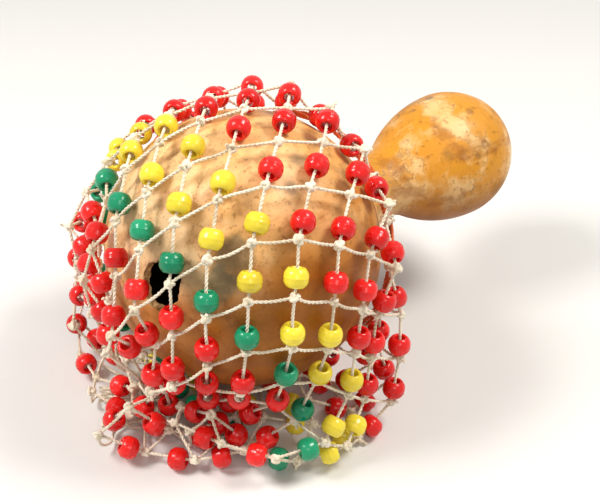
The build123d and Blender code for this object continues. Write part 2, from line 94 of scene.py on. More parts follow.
# Each tail's route in millimetres: from its last knot, through the wrap, to its cut end.
# Those that come from the wrap's far side swing out beside it and turn in.
TAIL_ROUTES = (
    ((-59.6, -20.6, 35.4), (-57.7, -18.0, 29.4), (-55.0, -13.8, 22.3), (-54.2, -5.3, 21.4),
     (-51.6, 2.6, 19.2), (-46.4, 2.4, 12.1), (-41.0, 1.0, 5.5), (-59.4, 14.8, 5.5)),
    ((-47.0, -18.0, 34.3), (-45.5, -11.8, 31.1), (-43.9, -3.5, 27.6), (-43.5, 5.4, 25.4),
     (-42.7, 11.6, 19.0), (-42.4, 6.6, 11.1), (-41.9, -0.3, 5.5), (-61.4, 14.4, 5.5)),
    ((-36.0, -25.7, 20.4), (-33.9, -22.8, 15.1), (-30.4, -19.5, 8.2), (-29.4, -13.8, 2.1),
     (-35.2, -7.7, 2.1), (-43.1, -5.2, 2.1), (-41.5, 0.4, 6.8), (-61.9, 15.8, 6.8)),
    ((-26.0, -22.4, 12.9), (-22.1, -18.0, 10.5), (-26.7, -13.3, 5.2), (-33.1, -8.7, 2.4),
     (-41.0, -6.1, 2.1), (-45.5, 1.0, 2.1), (-40.5, 1.6, 6.8), (-62.0, 17.8, 6.8)),
    ((-48.0, -28.5, 10.8), (-47.9, -30.0, 4.6), (-46.7, -22.1, 2.1), (-47.7, -16.5, 2.1),
     (-50.3, -8.5, 2.1), (-46.5, -2.0, 2.3), (-40.1, 2.2, 5.5), (-58.4, 16.1, 5.5)),
    ((-43.8, -16.1, 11.9), (-45.1, -16.4, 5.7), (-49.5, -10.2, 2.1), (-50.5, -6.8, 2.1),
     (-52.9, -3.5, 2.1), (-48.0, -1.6, 2.2), (-40.5, 1.6, 4.2), (-60.0, 16.2, 4.2)),
    ((-56.9, -6.3, 2.7), (-60.0, -5.0, 2.1), (-60.5, 1.0, 2.1), (-55.5, 3.5, 2.1),
     (-51.5, -2.0, 2.1), (-45.5, -8.0, 2.5), (-39.5, -1.5, 4.2), (-46.2, 3.7, 4.2),
     (-61.9, 15.8, 4.2)),
    ((-78.0, -9.4, 12.8), (-77.8, -8.4, 6.5), (-70.8, -6.7, 2.4), (-67.2, -0.8, 2.1),
     (-58.9, -0.5, 2.1), (-52.0, -5.5, 2.4), (-46.0, -10.0, 4.0), (-40.9, -3.0, 5.5),
     (-47.8, 2.2, 5.5), (-64.4, 14.7, 5.5)),
    ((-70.0, -0.7, 6.4), (-68.0, -1.0, 2.1), (-60.7, -1.1, 2.1), (-53.5, -1.0, 2.1),
     (-48.5, -5.0, 2.1), (-43.5, -9.0, 3.5), (-38.5, -3.5, 7.0), (-44.6, 0.9, 7.1),
     (-61.0, 12.7, 7.2)),
    ((-67.3, 14.9, 10.3), (-67.9, 15.4, 4.3), (-62.3, 21.0, 2.1), (-55.0, 17.0, 2.1),
     (-48.3, 12.1, 2.1), (-44.2, 4.9, 2.1), (-41.8, 0.0, 8.3), (-61.2, 14.6, 8.3)),
    ((-55.8, 41.0, 6.2), (-51.2, 38.2, 2.7), (-49.3, 30.1, 2.1), (-46.5, 22.3, 2.1),
     (-43.5, 14.5, 2.1), (-42.1, 6.3, 2.1), (-40.7, 1.3, 8.6), (-61.2, 16.7, 8.6)),
    ((-58.5, 40.1, 24.2), (-55.4, 37.1, 18.7), (-52.5, 33.7, 10.9), (-48.7, 26.6, 7.4),
     (-45.5, 18.6, 6.3), (-39.0, 13.0, 5.6), (-33.5, 8.8, 6.8), (-39.0, 2.0, 7.8),
     (-45.8, 7.2, 7.8), (-61.3, 18.8, 7.8)),
    ((-54.1, 32.9, 39.1), (-53.0, 29.8, 33.4), (-52.2, 25.1, 26.2), (-52.9, 19.8, 19.5),
     (-49.2, 15.0, 13.5), (-44.5, 9.5, 12.4), (-37.8, 5.0, 12.4), (-38.6, 3.2, 5.2),
     (-44.8, 7.7, 6.1), (-57.6, 17.2, 6.4)),
    ((-50.1, 22.8, 44.6), (-50.2, 21.2, 38.0), (-50.9, 19.2, 29.4), (-53.2, 17.5, 21.0),
     (-49.9, 13.6, 13.8), (-44.0, 9.0, 12.2), (-37.6, 4.8, 11.9), (-38.6, 3.2, 4.3),
     (-44.8, 7.9, 4.5), (-58.6, 18.0, 4.6)),
    ((-60.8, 17.1, 47.5), (-58.8, 15.7, 40.6), (-56.7, 14.1, 31.7), (-55.6, 12.7, 22.5),
     (-50.2, 11.6, 15.1), (-45.0, 7.4, 12.0), (-39.2, 3.4, 10.9), (-39.4, 2.5, 2.9),
     (-45.6, 7.1, 3.1), (-60.2, 18.0, 3.2)),
    ((-58.4, 4.7, 49.2), (-56.5, 4.3, 42.7), (-53.9, 4.1, 34.3), (-51.0, 3.9, 26.0),
     (-48.0, 3.7, 17.9), (-44.5, 2.7, 10.0), (-40.7, 1.3, 2.4), (-62.2, 17.5, 2.4)),
    ((-67.1, -3.9, 46.7), (-63.6, -2.7, 40.7), (-59.0, -0.9, 33.2), (-54.5, 1.0, 25.6),
     (-50.4, 2.6, 17.7), (-46.1, 1.8, 9.9), (-41.8, 0.0, 2.7), (-60.2, 13.8, 2.7)),
    ((-55.0, -7.3, 44.8), (-51.8, -3.3, 39.3), (-47.7, 1.9, 32.4), (-43.9, 7.5, 25.8),
     (-42.0, 11.2, 17.5), (-42.4, 5.5, 9.9), (-42.6, -1.1, 3.8), (-62.0, 13.5, 3.8)),
)


# Reading the frame


def solids_of(node):
    """The separate solids of a CAD node, as arrays of points, in the node's own order."""
    mesh = NODES[node].data
    points = np.empty(3 * len(mesh.vertices))
    mesh.vertices.foreach_get("co", points)
    points = points.reshape(-1, 3)
    corners = np.empty(len(mesh.loops), int)
    mesh.loops.foreach_get("vertex_index", corners)
    same = np.unique(np.round(points, 6), axis=0, return_inverse=True)[1].ravel()
    triangles = same[corners].reshape(-1, 3)
    label = np.arange(same.max() + 1)
    while True:
        lower = label.copy()
        np.minimum.at(lower, triangles.ravel(), np.repeat(label[triangles].min(axis=1), 3))
        lower = lower[lower]
        if (lower == label).all():
            break
        label = lower
    owner = label[same]
    return [points[owner == which] for which in dict.fromkeys(owner.tolist())]


def middle_of(points):
    return (points.min(axis=0) + points.max(axis=0)) / 2


def axes_of(points):
    """A solid's own directions, from its longest to its shortest."""
    return np.linalg.svd(points - points.mean(axis=0), full_matrices=False)[2]


def rod_ends(points):
    """The two ends of a straight round solid's line."""
    middle, way = points.mean(axis=0), axes_of(points)[0]
    along = (points - middle) @ way
    return middle + along.min() * way, middle + along.max() * way


def strands_of(node):
    return [rod_ends(points) for points in solids_of(node)]


def unit(vector):
    return vector / np.linalg.norm(vector)


# Making meshes and pieces


def linked(name, mesh):
    piece = bpy.data.objects.new(name, mesh)
    bpy.context.scene.collection.objects.link(piece)
    return piece


def dress(piece, *nodes):
    """Lets a finished piece stand for CAD nodes of one body."""
    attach(piece, BODY_OF[nodes[0]])
    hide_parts(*nodes)
    return piece


def lines_mesh(name, lines, closed=False):
    """Loose lines of points, for a twine tree to follow."""
    points, edges = [], []
    for line in lines:
        first = len(points)
        points += [tuple(p) for p in line]
        edges += [(i, i + 1) for i in range(first, len(points) - 1)]
        if closed:
            edges.append((len(points) - 1, first))
    mesh = bpy.data.meshes.new(name)
    mesh.from_pydata(points, edges, [])
    return mesh


def points_mesh(name, places, turns, tints, sizes):
    """Loose points, each with its turn, size and tint, for a scatter tree to fill."""
    mesh = bpy.data.meshes.new(name)
    mesh.from_pydata([tuple(p) for p in places], [], [])
    mesh.attributes.new("turn", "FLOAT_VECTOR", "POINT").data.foreach_set("vector", np.ravel(turns))
    mesh.attributes.new("tint", "FLOAT", "POINT").data.foreach_set("value", tints)
    mesh.attributes.new("size", "FLOAT", "POINT").data.foreach_set("value", sizes)
    return mesh


def ring_mesh(name, rings, closed):
    """A skin over rings of equal count, its ends joined to each other or closed by flat caps."""
    count = len(rings[0])
    faces = []
    for i in range(len(rings) if closed else len(rings) - 1):
        a, b = i * count, (i + 1) % len(rings) * count
        faces += [(a + j, a + (j + 1) % count, b + (j + 1) % count, b + j) for j in range(count)]
    if not closed:
        last = (len(rings) - 1) * count
        faces += [tuple(range(count))[::-1], tuple(range(last, last + count))]
    mesh = bpy.data.meshes.new(name)
    mesh.from_pydata([tuple(p) for ring in rings for p in ring], [], faces)
    mesh.polygons.foreach_set("use_smooth", [True] * len(faces))
    return mesh


def track_turn(way, spin):
    """The turn that points a shape's Z along a direction, spun about it."""
    turn = Vector(way).to_track_quat("Z", "Y").to_matrix() @ Matrix.Rotation(spin, 3, "Z")
    return tuple(turn.to_euler())


# Geometry Nodes


def node(tree, kind, inputs=(), **settings):
    """Adds a node, sets it, and fills its inputs with values or other nodes' outputs."""
    made = tree.nodes.new(kind)
    for setting, value in settings.items():
        setattr(made, setting, value)
    for socket, value in dict(inputs).items():
        if isinstance(value, bpy.types.NodeSocket):
            tree.links.new(value, made.inputs[socket])
        else:
            made.inputs[socket].default_value = value
    return made


def geometry_tree(name, inputs):
    """An empty Geometry Nodes tree with named inputs. Returns it and its input sockets by name."""
    tree = bpy.data.node_groups.new(name, "GeometryNodeTree")
    tree.interface.new_socket("Geometry", in_out="INPUT", socket_type="NodeSocketGeometry")
    for label, kind, default in inputs:
        socket = tree.interface.new_socket(label, in_out="INPUT", socket_type="NodeSocket" + kind)
        if default is not None:
            socket.default_value = default
    tree.interface.new_socket("Geometry", in_out="OUTPUT", socket_type="NodeSocketGeometry")
    given = tree.nodes.new("NodeGroupInput")
    return tree, {socket.name: socket for socket in given.outputs if socket.name}


def end_tree(tree, geometry, material):
    """Realize Instances, Set Material and the tree's output."""
    real = node(tree, "GeometryNodeRealizeInstances", {"Geometry": geometry})
    smooth = node(tree, "GeometryNodeSetShadeSmooth", {"Geometry": real.outputs[0]})
    done = node(tree, "GeometryNodeSetMaterial", {"Geometry": smooth.outputs[0], "Material": material})
    tree.links.new(done.outputs[0], tree.nodes.new("NodeGroupOutput").inputs[0])


def twine_tree():
    """Two plies laid round each other along every line of a mesh."""
    tree, given = geometry_tree(
        "Laid twine",
        [("Thickness", "Float", 0.0014), ("Lay", "Float", 0.0042), ("Ply Sides", "Int", 6),
         ("Step", "Float", 0.0007), ("Material", "Material", None)])
    lines = node(tree, "GeometryNodeMeshToCurve", {"Mesh": given["Geometry"]})
    even = node(tree, "GeometryNodeResampleCurve",
                {"Curve": lines.outputs[0], "Length": given["Step"]}, mode="LENGTH")
    along = node(tree, "GeometryNodeSplineParameter")
    turns = node(tree, "ShaderNodeMath", {0: along.outputs["Length"], 1: given["Lay"]}, operation="DIVIDE")
    tilt = node(tree, "ShaderNodeMath", {0: turns.outputs[0], 1: 2 * math.pi}, operation="MULTIPLY")
    laid = node(tree, "GeometryNodeSetCurveTilt", {"Curve": even.outputs[0], "Tilt": tilt.outputs[0]})
    ply = node(tree, "ShaderNodeMath", {0: given["Thickness"], 1: PLY_RADIUS}, operation="MULTIPLY")
    circle = node(tree, "GeometryNodeCurvePrimitiveCircle",
                  {"Resolution": given["Ply Sides"], "Radius": ply.outputs[0]})
    plies = tree.nodes.new("GeometryNodeJoinGeometry")
    for side in (PLY_PLACE, -PLY_PLACE):
        aside = node(tree, "ShaderNodeMath", {0: given["Thickness"], 1: side}, operation="MULTIPLY")
        offset = node(tree, "ShaderNodeCombineXYZ", {"X": aside.outputs[0]})
        moved = node(tree, "GeometryNodeTransform",
                     {"Geometry": circle.outputs[0], "Translation": offset.outputs[0]})
        tree.links.new(moved.outputs[0], plies.inputs[0])
    twine = node(tree, "GeometryNodeCurveToMesh",
                 {"Curve": laid.outputs[0], "Profile Curve": plies.outputs[0], "Fill Caps": True})
    end_tree(tree, twine.outputs[0], given["Material"])
    return tree


def scatter_tree():
    """One shape set on every point of a mesh, by the point's own turn and size."""
    tree, given = geometry_tree("Set shapes", [("Shape", "Object", None), ("Material", "Material", None)])
    shape = node(tree, "GeometryNodeObjectInfo", {"Object": given["Shape"]})
    turn = node(tree, "GeometryNodeInputNamedAttribute", {"Name": "turn"}, data_type="FLOAT_VECTOR")
    size = node(tree, "GeometryNodeInputNamedAttribute", {"Name": "size"}, data_type="FLOAT")
    turned = node(tree, "FunctionNodeEulerToRotation", {0: turn.outputs[0]})
    placed = node(tree, "GeometryNodeInstanceOnPoints",
                  {"Points": given["Geometry"], "Instance": shape.outputs["Geometry"],
                   "Rotation": turned.outputs[0], "Scale": size.outputs[0]})
    end_tree(tree, placed.outputs[0], given["Material"])
    return tree


def grown(name, mesh, tree, values):
    """What a Geometry Nodes tree makes of a mesh, as a plain piece."""
    source = linked(name + "_source", mesh)
    modifier = source.modifiers.new("Grow", "NODES")
    modifier.node_group = tree
    for item in tree.interface.items_tree:
        if item.in_out == "INPUT" and item.name in values:
            modifier[item.identifier] = values[item.name]
    evaluated = source.evaluated_get(bpy.context.evaluated_depsgraph_get())
    result = bpy.data.meshes.new_from_object(evaluated)
    result.name = name
    for spare in ("turn", "size"):
        if spare in result.attributes:
            result.attributes.remove(result.attributes[spare])
    bpy.data.objects.remove(source)
    return linked(name, result)


# Materials


def new_finish(name, **sockets):
    """A material with one Principled shader. Returns the material, its tree and the shader."""
    material = bpy.data.materials.new(name)
    material.use_nodes = True
    tree = material.node_tree
    tree.nodes.clear()
    shader = node(tree, "ShaderNodeBsdfPrincipled", {k.replace("_", " "): v for k, v in sockets.items()})
    tree.links.new(shader.outputs[0], tree.nodes.new("ShaderNodeOutputMaterial").inputs[0])
    return material, tree, shader


def place_in(tree):
    return node(tree, "ShaderNodeTexCoord").outputs["Object"]


def cloud(tree, place, scale, detail=4.0, rough=0.55, stretch=None):
    """Soft noise from 0 to 1, over the object's own coordinates."""
    if stretch:
        place = node(tree, "ShaderNodeMapping", {"Vector": place, "Scale": stretch}).outputs[0]
    return node(tree, "ShaderNodeTexNoise",
                {"Vector": place, "Scale": scale, "Detail": detail, "Roughness": rough}).outputs[0]


def between(tree, value, low, high, start=0.0, end=1.0):
    """A value's smooth rise from start to end, as it goes from low to high."""
    return node(tree, "ShaderNodeMapRange",
                {"Value": value, "From Min": low, "From Max": high, "To Min": start, "To Max": end},
                interpolation_type="SMOOTHSTEP").outputs[0]


def sums(tree, operation, a, b):
    return node(tree, "ShaderNodeMath", {0: a, 1: b}, operation=operation).outputs[0]


def times(tree, first, *others):
    """The product of shares."""
    for other in others:
        first = sums(tree, "MULTIPLY", first, other)
    return first


def swing(tree, value, width):
    """Noise from 0 to 1, as a swing of the given width about nought."""
    return times(tree, sums(tree, "SUBTRACT", value, 0.5), width)


def blended(tree, share, a, b):
    """Colour b over colour a, by a share."""
    return node(tree, "ShaderNodeMix", {0: share, 6: a, 7: b}, data_type="RGBA").outputs[2]


def bumped(tree, shader, height, strength, distance):
    bump = node(tree, "ShaderNodeBump", {"Height": height, "Strength": strength, "Distance": distance})
    tree.links.new(bump.outputs[0], shader.inputs["Normal"])


def patch(tree, place, middle, inner, outer, ragged):
    """A stain's share: full within inner of its middle, none past outer, with a ragged edge."""
    away = node(tree, "ShaderNodeVectorMath", {0: place, 1: middle}, operation="DISTANCE").outputs["Value"]
    wobble = swing(tree, cloud(tree, place, 130.0, 5.0), ragged)
    return between(tree, sums(tree, "ADD", away, wobble), inner, outer, 1.0, 0.0)


def colour(values):
    return (*values, 1.0)


def gourd_skin(settings):
    """Dried gourd skin: tan belly going orange-brown underneath, amber handle, mould stains, scabs, streaks
    and speckles, with painted shade on its lower side and underside.
    """
    material, tree, shader = new_finish("Gourd skin", Specular_IOR_Level=0.24, Coat_Weight=0.07,
                                        Coat_Roughness=0.3)
    place = place_in(tree)
    along, _, height = node(tree, "ShaderNodeSeparateXYZ", {0: place}).outputs

    def rise(value, low, high, start=0.0, end=1.0):
        return between(tree, value, low, high, start, end)

    def over(under, share, tone):
        return blended(tree, share, under, colour(getattr(settings, tone)))

    broad = cloud(tree, place, 24.0, 3.0)
    blotch = cloud(tree, place, 34.0, 5.0, 0.65)
    mottle = cloud(tree, place, 75.0, 6.0, 0.62)
    grain = cloud(tree, place, 420.0, 4.0, 0.6)
    streak = cloud(tree, place, 16.0, 5.0, 0.6, stretch=(0.8, 5.0, 5.0))
    # belly: pale upper side, going orange-brown and then dark brown towards the table, partly the skin's own
    # colour and partly painted shade
    low = node(tree, "ShaderNodeVectorMath", {0: place, 1: CARAMEL_AND_SHADE_WAY}, operation="DOT_PRODUCT")
    low = sums(tree, "ADD", low.outputs["Value"], swing(tree, broad, 0.09))
    sunny = rise(low, -0.024, -0.068)
    skin = over(colour(settings.pale), rise(low, -0.09, -0.008), "caramel")
    skin = over(skin, rise(low, -0.046, -0.002, 0.0, 0.55), "rust")
    skin = over(skin, times(tree, rise(broad, 0.44, 0.56, 0.0, 0.6), sunny), "ochre")
    skin = over(skin, rise(blotch, 0.53, 0.62, 0.0, 0.5), "caramel")
    skin = over(skin, times(tree, rise(blotch, 0.44, 0.36, 0.0, 0.45), sunny), "cream")
    # grey and ashen round the blossom end
    ash = rise(sums(tree, "ADD", along, swing(tree, mottle, 0.06)), -0.02, -0.05, 0.0, 0.75)
    skin = over(skin, times(tree, ash, rise(height, 0.068, 0.095)), "ash")
    # handle: amber with cream patches, dark rims round some of them, and dark brown underneath, partly
    # painted shade
    worn = cloud(tree, place, 52.0, 6.0, 0.6)
    amber = over(colour(settings.amber), rise(worn, 0.48, 0.64, 0.0, 0.75), "cream")
    rim = sums(tree, "ABSOLUTE", sums(tree, "SUBTRACT", worn, 0.55), 0.0)
    rim = times(tree, rise(rim, 0.014, 0.002), rise(blotch, 0.48, 0.56), 0.45)
    amber = over(over(amber, rim, "mould"), rise(height, 0.074, 0.042, 0.0, 0.9), "rust")
    neck = sums(tree, "ADD", along, times(tree, mottle, 0.02))
    skin = blended(tree, rise(neck, 0.045, 0.085), skin, amber)
    # mottling, pale flecks, streaks along the gourd and fine speckles
    skin = over(skin, rise(mottle, 0.53, 0.66, 0.0, 0.5), "rust")
    skin = over(skin, times(tree, rise(mottle, 0.44, 0.32, 0.0, 0.4), sunny), "cream")
    skin = over(skin, rise(streak, 0.54, 0.66, 0.0, 0.45), "rust")
    skin = over(skin, rise(grain, 0.56, 0.68, 0.0, 0.5), "rust")
    dirt = cloud(tree, place, 52.0, 4.0)
    for size, share in ((520.0, 0.4), (1050.0, 0.35)):
        dots = node(tree, "ShaderNodeTexVoronoi", {"Vector": place, "Scale": size}).outputs["Distance"]
        dots = times(tree, rise(dots, 0.26, 0.1), rise(dirt, 0.44, 0.58), rise(along, 0.03, 0.08, 1.0, 0.35))
        skin = over(skin, times(tree, dots, share), "scab")
    # stains and scabs in their own places
    crust = 0.0
    for middle, inner, outer, ragged, tone, share in SKIN_PATCHES:
        here = patch(tree, place, middle, inner * MM, outer * MM, ragged * MM)
        broken = times(tree, here, rise(mottle, 0.36, 0.56, 0.65, 1.0))
        skin = over(skin, times(tree, broken, share), tone)
        if tone == "scab":
            crust = sums(tree, "ADD", crust, broken)
    # old ring marks on the handle, and dark brown under the whole gourd, partly painted shade
    rings = node(tree, "ShaderNodeTexVoronoi", {"Vector": place, "Scale": 95.0}).outputs["Distance"]
    marks = times(tree, rise(rings, 0.2, 0.26), rise(rings, 0.36, 0.29), rise(along, 0.085, 0.1),
                  rise(cloud(tree, place, 35.0, 2.0), 0.5, 0.6), 0.6)
    skin = over(skin, marks, "scab")
    skin = over(skin, rise(height, 0.06, 0.02, 0.0, 0.8), "rust")
    tree.links.new(skin, shader.inputs["Base Color"])
    rough = sums(tree, "ADD", rise(mottle, 0.3, 0.7, 0.36, 0.58), times(tree, crust, 0.3))
    tree.links.new(rough, shader.inputs["Roughness"])
    relief = sums(tree, "ADD", times(tree, grain, 0.25), times(tree, mottle, 0.5))
    relief = sums(tree, "ADD", relief, times(tree, crust, 0.9))
    bumped(tree, shader, relief, 0.35, 0.0006)
    return material


def gourd_inside(settings):
    """The hollow's dark, dry pith."""
    material, tree, shader = new_finish("Gourd inside", Roughness=0.95, Specular_IOR_Level=0.15)
    place = place_in(tree)
    fibre = cloud(tree, place, 160.0, 6.0, 0.7, stretch=(1.0, 0.35, 0.35))
    dark = tuple(0.5 * c for c in settings.pith)
    tree.links.new(blended(tree, fibre, colour(dark), colour(settings.pith)), shader.inputs["Base Color"])
    bumped(tree, shader, fibre, 0.8, 0.001)
    return material


def gourd_edge(settings):
    """The pale broken wall round the cleaning hole."""
    material, tree, shader = new_finish("Gourd edge", Roughness=0.9, Specular_IOR_Level=0.2)
    place = place_in(tree)
    grain = cloud(tree, place, 700.0, 5.0, 0.7)
    tone = blended(tree, between(tree, grain, 0.3, 0.7), colour(settings.rust), colour(settings.cream))
    tree.links.new(tone, shader.inputs["Base Color"])
    bumped(tree, shader, grain, 0.9, 0.0007)
    return material


def bead_plastic(name, tone):
    """Glossy moulded plastic, each bead a little lighter or darker than the next."""
    material, tree, shader = new_finish(
        name, Specular_IOR_Level=0.32, Subsurface_Weight=0.08, Subsurface_Scale=0.002,
        Subsurface_Radius=(1.0, 0.5, 0.3), Coat_Weight=0.08, Coat_Roughness=0.06)
    place = place_in(tree)
    tint = node(tree, "ShaderNodeAttribute", attribute_name="tint").outputs["Fac"]
    swirl = cloud(tree, place, 260.0, 3.0)
    shade = sums(tree, "ADD", tint, swing(tree, swirl, 0.25))
    deep = tuple(0.72 * c for c in tone)
    bright = tuple(min(1.0, 1.12 * c + 0.012) for c in tone)
    tree.links.new(blended(tree, shade, colour(deep), colour(bright)), shader.inputs["Base Color"])
    scuff = cloud(tree, place, 900.0, 4.0, 0.6)
    tree.links.new(between(tree, scuff, 0.35, 0.75, 0.12, 0.3), shader.inputs["Roughness"])
    bumped(tree, shader, cloud(tree, place, 340.0, 2.0), 0.08, 0.0003)
    return material


def spun_thread(name, tone, shade):
    """Matt spun thread with fine fibres, paler and darker along its length."""
    material, tree, shader = new_finish(name, Specular_IOR_Level=0.2, Sheen_Weight=0.35, Sheen_Roughness=0.5)
    place = place_in(tree)
    fibre = cloud(tree, place, 2600.0, 3.0, 0.7)
    wear = cloud(tree, place, 110.0, 4.0)
    tone = blended(tree, between(tree, wear, 0.4, 0.72, 0.0, 0.75), colour(tone), colour(shade))
    tone = blended(tree, between(tree, fibre, 0.56, 0.74, 0.0, 0.5), tone, colour(shade))
    tree.links.new(tone, shader.inputs["Base Color"])
    tree.links.new(between(tree, fibre, 0.3, 0.7, 0.75, 0.95), shader.inputs["Roughness"])
    bumped(tree, shader, fibre, 0.55, 0.0002)
    return material


# Shapes


def gourd_profile(inset):
    """Points of the gourd's outline, as (place along the axis, radius), from blossom end to handle tip."""
    flank = (BULB_PLACE, BULB_RADIUS - BULB_FLANK)
    belly_room = BELLY_RADIUS**2 - NECK_RADIUS**2
    flank_room = BULB_FLANK**2 - (NECK_RADIUS - flank[1]) ** 2
    lead = (BULB_PLACE**2 + belly_room - flank_room) / (2 * BULB_PLACE)
    slope = (BELLY_RADIUS - BULB_RADIUS) / BULB_PLACE
    middle = lead * slope - (BELLY_RADIUS - NECK_RADIUS)
    blend = (-middle - math.sqrt(middle**2 - slope**2 * (lead**2 - belly_room))) / slope**2
    neck = (lead + slope * blend, NECK_RADIUS + blend)
    belly_end = math.atan2(neck[1], neck[0])
    flank_start = math.atan2(neck[1] - flank[1], neck[0] - flank[0])
    arcs = [((0, 0), BELLY_RADIUS - inset, math.pi, belly_end, 76),
            (neck, -(blend + inset), belly_end, flank_start, 22),
            (flank, BULB_FLANK - inset, flank_start, math.pi / 2, 26),
            ((BULB_PLACE, 0), BULB_RADIUS - inset, math.pi / 2, 0, 30)]
    points = []
    for (x, y), radius, start, end, steps in arcs:
        for step in range(steps):
            turn = start + (end - start) * step / steps
            points.append((x + radius * math.cos(turn), y + radius * math.sin(turn), turn))
    points.append((BULB_PLACE + BULB_RADIUS - inset, 0.0, 0.0))
    return points


def lumps(place, depth):
    """How far the dried skin has shrunk in at a place: broad dents, ribs along the gourd, and pits."""
    broad = noise.noise(place * 28) * 0.5 + 0.5
    ribs = noise.noise(Vector((place.x * 12, place.y * 75, (place.z - AXIS_HEIGHT) * 75))) * 0.5 + 0.5
    pits = max(0.0, noise.noise(place * 130 + Vector((7, 3, 5))) - 0.25)
    return depth * (0.75 * broad + 0.3 * ribs + 0.5 * pits)


def gourd_mesh(settings):
    """Outer and inner skin of the gourd, each closed."""
    around = settings.segments
    made = bmesh.new()
    for inset, inside in ((0.0, False), (WALL, True)):
        rings = []
        for x, radius, turn in gourd_profile(inset):
            ring = []
            for step in range(around):
                angle = 2 * math.pi * step / around
                out = Vector((0, math.cos(angle), math.sin(angle)))
                place = Vector((x, 0, AXIS_HEIGHT)) + radius * out
                if not inside:
                    way = Vector((math.cos(turn), 0, 0)) + math.sin(turn) * out
                    place -= way * lumps(place, settings.dents)
                ring.append(place)
                if abs(radius) < 1e-6:
                    break
            rings.append([made.verts.new(place) for place in ring])
        for a, b in zip(rings, rings[1:]):
            for i in range(around):
                corners = [a[i % len(a)], a[(i + 1) % len(a)], b[(i + 1) % len(b)], b[i % len(b)]]
                face = made.faces.new(list(dict.fromkeys(corners)))
                face.smooth = True
                face.material_index = int(inside)
    bmesh.ops.recalc_face_normals(made, faces=[f for f in made.faces if f.material_index == 0])
    inner = [f for f in made.faces if f.material_index == 1]
    bmesh.ops.recalc_face_normals(made, faces=inner)
    bmesh.ops.reverse_faces(made, faces=inner)
    mesh = bpy.data.meshes.new("gourd")
    made.to_mesh(mesh)
    made.free()
    return mesh


def hole_cutter(settings):
    """A prism with a ragged outline, through the blossom end's wall."""
    rings = []
    for x in HOLE_REACH:
        ring = []
        for step in range(HOLE_STEPS):
            turn = 2 * math.pi * step / HOLE_STEPS
            ragged = noise.noise(Vector((math.cos(turn) * 1.7, math.sin(turn) * 1.7, 3.1)))
            chips = noise.noise(Vector((math.cos(turn) * 6, math.sin(turn) * 6, 9.4)))
            grow = 1 + settings.ragged * (ragged + 0.6 * chips)
            ring.append((x, HOLE_MIDDLE[0] + grow * HOLE_SIZE[0] / 2 * math.cos(turn),
                         HOLE_MIDDLE[1] + grow * HOLE_SIZE[1] / 2 * math.sin(turn)))
        rings.append(ring)
    mesh = ring_mesh("hole_cutter", rings, closed=False)
    mesh.polygons.foreach_set("use_smooth", [False] * len(mesh.polygons))
    return mesh


def bead_mesh(settings):
    """A barrel bead about Z: a plain band with a fine mould line, round shoulders, flat ends, a hole."""
    half, wide, rim, hole = settings.length / 2, settings.diameter / 2, settings.end / 2, settings.hole / 2
    reach, line = math.hypot(rim, half), settings.mould_line
    top, band = math.asin(half / reach), math.acos(wide / reach)
    profile = [(rim - 0.25 * MM, -half)]
    for share in (0.04, 0.36, 0.68, 1.0):
        angle = top + share * (band - top)
        profile.append((reach * math.cos(angle), -reach * math.sin(angle)))
    profile += [(wide, -line), (wide + 0.6 * line, 0.0)]
    profile += [(r, -z) for r, z in profile[5::-1]]
    mouth = [(hole + 0.45 * MM, half), (hole + 0.1 * MM, half - 0.2 * MM), (hole, half - 0.7 * MM)]
    profile += mouth + [(r, -z) for r, z in mouth[::-1]]
    turns = [2 * math.pi * step / settings.segments for step in range(settings.segments)]
    rings = [[(r * math.cos(turn), r * math.sin(turn), z) for turn in turns] for r, z in profile]
    return outwards(ring_mesh("bead", rings, closed=True))


def outwards(mesh):
    """Turns all faces of a closed mesh outwards."""
    made = bmesh.new()
    made.from_mesh(mesh)
    bmesh.ops.recalc_face_normals(made, faces=made.faces)
    made.to_mesh(mesh)
    made.free()
    return mesh


def tube_rings(line, radius, sides):
    """Rings of points round a closed line, with as little twist as possible."""
    line = [Vector(p) for p in line]
    rings, side = [], None
    for i, p in enumerate(line):
        way = (line[(i + 1) % len(line)] - line[i - 1]).normalized()
        side = way.orthogonal() if side is None else side - side.dot(way) * way
        side.normalize()
        other = way.cross(side)
        rings.append([p + radius * (math.cos(a) * side + math.sin(a) * other)
                      for a in (2 * math.pi * s / sides for s in range(sides))])
    return rings


def knot_mesh(settings):
    """A pulled-tight overhand knot about Z."""
    across, high = 0.36 * settings.knot, 0.3 * settings.knot
    line = []
    for step in range(KNOT_STEPS):
        t = 2 * math.pi * step / KNOT_STEPS
        line.append((across * (math.sin(t) + 2 * math.sin(2 * t)) / 3,
                     across * (math.cos(t) - 2 * math.cos(2 * t)) / 3, -high * math.sin(3 * t)))
    rings = tube_rings(line, 0.56 * settings.thickness, 6)
    return outwards(ring_mesh("knot", rings, closed=True))


def cut_end(knot, way, draws):
    """A short end of twine left standing out of a knot, away from the gourd."""
    out = unit(knot - np.array(BELLY))
    way = unit(np.array(way)) + 0.9 * out + draws.normal(0, 0.45, 3)
    way[2] = max(way[2], way[2] * min(1.0, knot[2] / TABLE_ROOM))  # not into the table
    way = unit(way)
    length = draws.uniform(2.6, 4.6) * MM
    droop = np.array((0, 0, 0.35 * MM))
    return [knot + share * length * way - share**2 * droop for share in (0.0, 0.4, 0.7, 1.0)]


def slack_line(start, end, sag, sway, draws):
    """A strand's line from knot to knot, reaching into both, with a slight sag and sway."""
    start, end = np.array(start), np.array(end)
    way = unit(end - start)
    start, end = start - KNOT_REACH * way, end + KNOT_REACH * way
    out = (start + end) / 2 - np.array(BELLY)
    down = np.array([0, 0, -1.0])
    down = down - (down @ way) * way
    down = down - min(0.0, down @ unit(out)) * unit(out)  # not into the gourd
    side = np.cross(way, unit(out))
    bend = sag * down + sway * draws.normal() * side
    wave = sway * draws.normal() * side
    shares = np.linspace(0, 1, 9)[:, None]
    bow = np.sin(np.pi * shares) * bend + np.sin(2 * np.pi * shares) * 0.6 * wave
    return start + shares * (end - start) + bow


